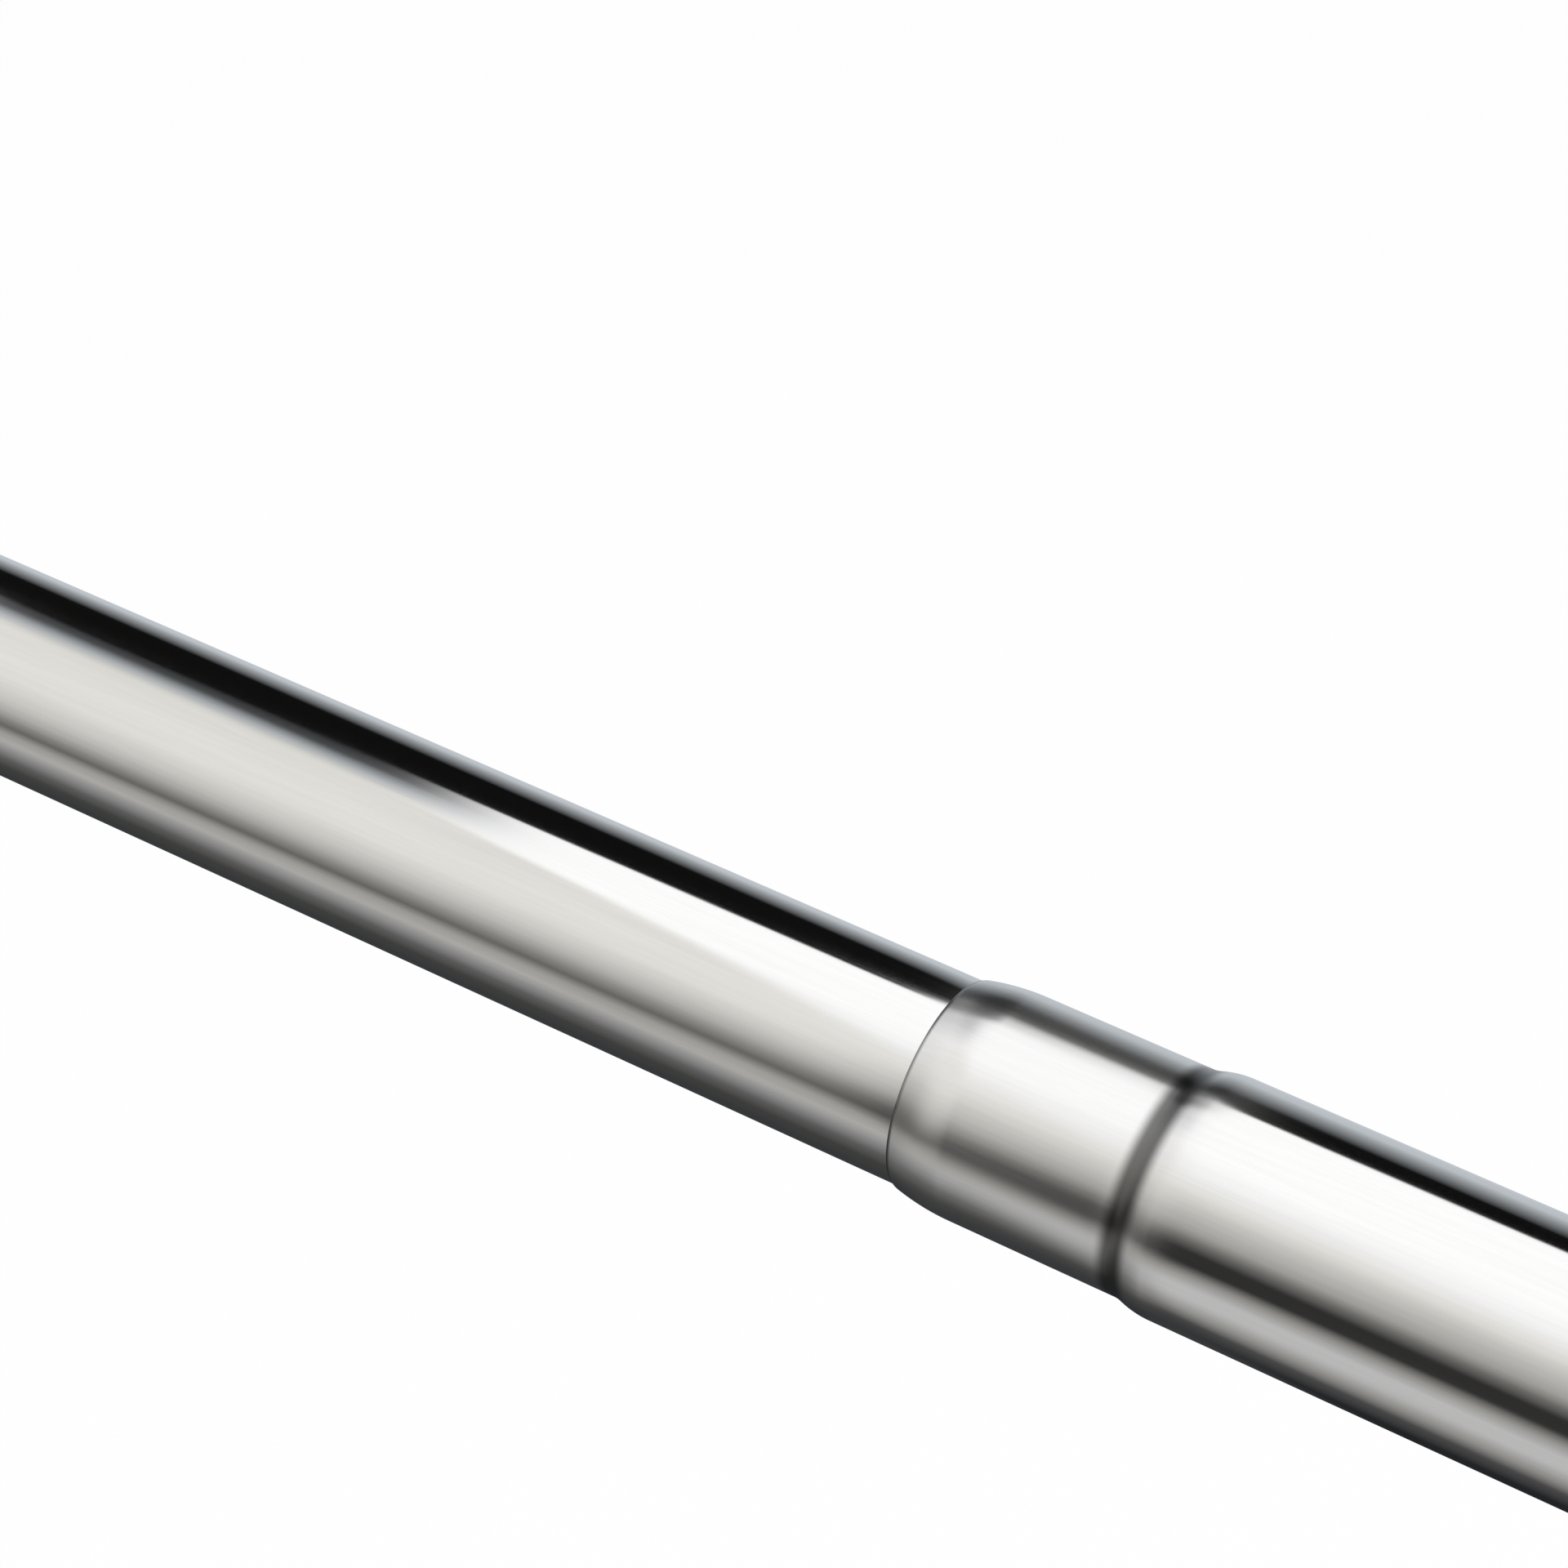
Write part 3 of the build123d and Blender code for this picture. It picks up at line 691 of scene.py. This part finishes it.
# Where the studio is dimmed, for the step's slope, and where it is lit again further on
DARK_START, DARK_FULL = -0.98, -1.10
DARK_LEVEL, DARK_BELOW_LEVEL, DARK_BELOW = 0.45, 0.60, (-1.3, -0.9)
DARK_LAST, DARK_END, BEYOND_LEVEL = -1.5, -1.7, 0.95


def card_ramp(n, angle, lean, cards):
    """A colour ramp over the full turn from the cards' stops, which lean along the rod."""
    share = n.math("MULTIPLY_ADD", n.math("ADD", angle, lean), 1 / (2 * math.pi), 0.5)
    stops = []
    for degrees, level, cast in cards:
        colour = tuple(min(level * part / FULL, 1.0) for part in cast)
        stops.append(((degrees + 180) / 360, colour))
    return n.ramp(share, stops)


def card_material():
    """Soft boxes and flags: brightness by the angle about the rod and the place along it."""
    n = Nodes(bpy.data.materials.new("studio_cards"))
    separate = n.add("ShaderNodeSeparateXYZ")
    n.link(n.object_position(), separate.inputs[0])
    along, up, towards = separate.outputs
    angle = n.math("ARCTAN2", up, towards)
    again = n.spread(along, AGAIN_FULL, AGAIN_START, 1.0, 0.0, smooth=True)
    place = n.math("MULTIPLY_ADD", again, n.math("SUBTRACT", AGAIN_PLACE, along), along)

    near_lean = n.product(
        n.math("MINIMUM", n.math("SUBTRACT", place, NEAR_STRAIGHT), 0.0),
        NEAR_LEAN,
        n.spread(angle, -NEAR_LEAN_START, -NEAR_LEAN_FULL),
        n.spread(angle, -NEAR_LEAN_FULL, -LEAN_LEAST, 1.0, LEAN_REST),
    )
    far_lean = n.product(
        n.math("SUBTRACT", place, FAR_STRAIGHT),
        FAR_LEAN,
        n.spread(angle, -LEAN_START, -LEAN_FULL),
        n.spread(angle, -LEAN_LESS, -LEAN_LEAST, 1.0, LEAN_REST),
    )
    near_cards = card_ramp(n, angle, near_lean, NEAR_CARDS)
    far_cards = card_ramp(n, angle, far_lean, FAR_CARDS)
    above = n.math("POWER", n.math("MAXIMUM", angle, 0.0), 2.0)
    front = n.math("MULTIPLY_ADD", above, NEAR_CURVE_UP, place)
    below = n.math("MINIMUM", n.math("SUBTRACT", angle, LOW_FRONT), 0.0)
    front = n.math("MULTIPLY_ADD", below, NEAR_SLANT_DOWN, front)
    near = n.product(
        n.spread(front, NEAR_START, NEAR_FULL, smooth=True),
        n.spread(place, KEY_START, KEY_FULL, smooth=True),
    )
    light = n.mix(near, far_cards, near_cards)

    edge = n.spread(place, *FLAG_JOIN, FAR_FLAG[0], NEAR_FLAG[0], smooth=True)
    edge = n.math("MULTIPLY_ADD", place, FLAG_SLANT, edge)
    past_edge = n.math("SUBTRACT", angle, edge)
    top = n.spread(place, *FLAG_JOIN, FAR_FLAG[1], NEAR_FLAG[1], smooth=True)
    past_top = n.math("SUBTRACT", angle, top)
    behind = tuple(RIM_LEVEL * part / FULL for part in COOL)
    gap = n.product(
        n.spread(place, *GAP_OPENS, smooth=True),
        n.spread(place, *GAP_CLOSES, 1.0, 0.0, smooth=True),
    )
    flag = n.mix(gap, (FLAG_LEVEL,) * 3, (FLAG_GAP_LEVEL,) * 3)
    rim = n.mix(n.spread(past_top, 0.0, RIM_RISE), flag, behind)
    light = n.mix(n.spread(past_edge, -FLAG_SOFTNESS, FLAG_SOFTNESS), light, rim)

    dark = n.spread(angle, *DARK_BELOW, DARK_BELOW_LEVEL, DARK_LEVEL)
    lit = n.spread(along, DARK_FULL, DARK_START, smooth=True)
    end = n.math("MULTIPLY_ADD", n.math("SUBTRACT", 1.0, dark), lit, dark)
    beyond = n.spread(along, DARK_END, DARK_LAST, BEYOND_LEVEL, 0.0, smooth=True)
    glow = n.add("ShaderNodeEmission")
    n.link(light, glow.inputs["Color"])
    n.link(n.product(n.math("MAXIMUM", end, beyond), FULL), glow.inputs["Strength"])
    return n.surface(glow)


def make_cards():
    """One curved sheet right round the rod, seen only in its reflections."""
    mesh = bpy.data.meshes.new("studio_cards")
    vertices, faces = [], []
    for step in range(CARD_STEPS):
        turn = 2 * math.pi * step / CARD_STEPS
        for x in (-CARD_HALF_LENGTH, CARD_HALF_LENGTH):
            vertices.append((x, CARD_DISTANCE * math.sin(turn), CARD_DISTANCE * math.cos(turn)))
    for step in range(CARD_STEPS):
        here, there = 2 * step, 2 * ((step + 1) % CARD_STEPS)
        faces.append((here, here + 1, there + 1, there))
    mesh.from_pydata(vertices, [], faces)
    mesh.materials.append(card_material())
    cards = new_object("studio_cards", mesh)
    cards.location = (lip_x, 0, 0)
    cards.rotation_euler = (camera_angle, 0, 0)
    for ray in ("camera", "diffuse", "shadow", "transmission", "volume_scatter"):
        setattr(cards, f"visible_{ray}", False)
    return cards


def white_seen(n, strength_elsewhere):
    """White where the camera, metal or glass looks, and a given strength for other light."""
    path = n.add("ShaderNodeLightPath")
    seen = n.math("MAXIMUM", path.outputs["Is Camera Ray"], path.outputs["Is Glossy Ray"])
    seen = n.math("MAXIMUM", seen, path.outputs["Is Transmission Ray"])
    return n.spread(seen, 0.0, 1.0, strength_elsewhere, 1.0)


def floor_material():
    """Matt white floor that stays nearly white where it is seen and takes a soft shadow."""
    n = Nodes(bpy.data.materials.new("floor_white"))
    matt = n.add("ShaderNodeBsdfDiffuse")
    n.set(matt, Color=FLOOR_WHITE)
    glow = n.add("ShaderNodeEmission")
    blend = n.add("ShaderNodeMixShader")
    seen = white_seen(n, 0.0)
    n.link(seen, glow.inputs["Strength"])
    n.link(n.product(seen, FLOOR_GLOW), blend.inputs[0])
    n.link(matt.outputs[0], blend.inputs[1])
    n.link(glow.outputs[0], blend.inputs[2])
    return n.surface(blend)


def make_floor():
    """A wide plain floor, well below the rod, which hangs between its walls."""
    mesh = bpy.data.meshes.new("floor")
    corners = [(-1, -1), (1, -1), (1, 1), (-1, 1)]
    vertices = [(x * FLOOR_HALF_WIDTH, y * FLOOR_HALF_WIDTH, FLOOR_HEIGHT) for x, y in corners]
    mesh.from_pydata(vertices, [], [(0, 1, 2, 3)])
    mesh.materials.append(floor_material())
    floor = new_object("floor", mesh)
    floor.visible_glossy = False
    return floor


def make_lamp(name, place, size, power):
    """A soft area lamp that faces the rod."""
    data = bpy.data.lights.new(name, "AREA")
    data.shape = "SQUARE"
    data.size = size
    data.energy = power
    lamp = new_object(name, data)
    lamp.location = place
    lamp.rotation_euler = (-Vector(place)).to_track_quat("-Z", "Y").to_euler()
    lamp.visible_camera = False
    lamp.visible_glossy = False


def make_world():
    """White where it is seen, and a little less as a source of light."""
    n = Nodes(bpy.data.worlds.new("studio"), "ShaderNodeOutputWorld")
    background = n.add("ShaderNodeBackground")
    n.set(background, Color=WORLD_WHITE)
    n.link(white_seen(n, WORLD_LEVEL), background.inputs["Strength"])
    return n.surface(background)


make_lamp("key_lamp", (-0.6, -0.9, 1.6), size=1.2, power=26.0)
make_lamp("back_lamp", (0.5, 1.2, 1.2), size=1.4, power=11.0)
bpy.context.scene.world = make_world()

make_cards()
make_floor()

bpy.context.scene.view_settings.view_transform = "Standard"
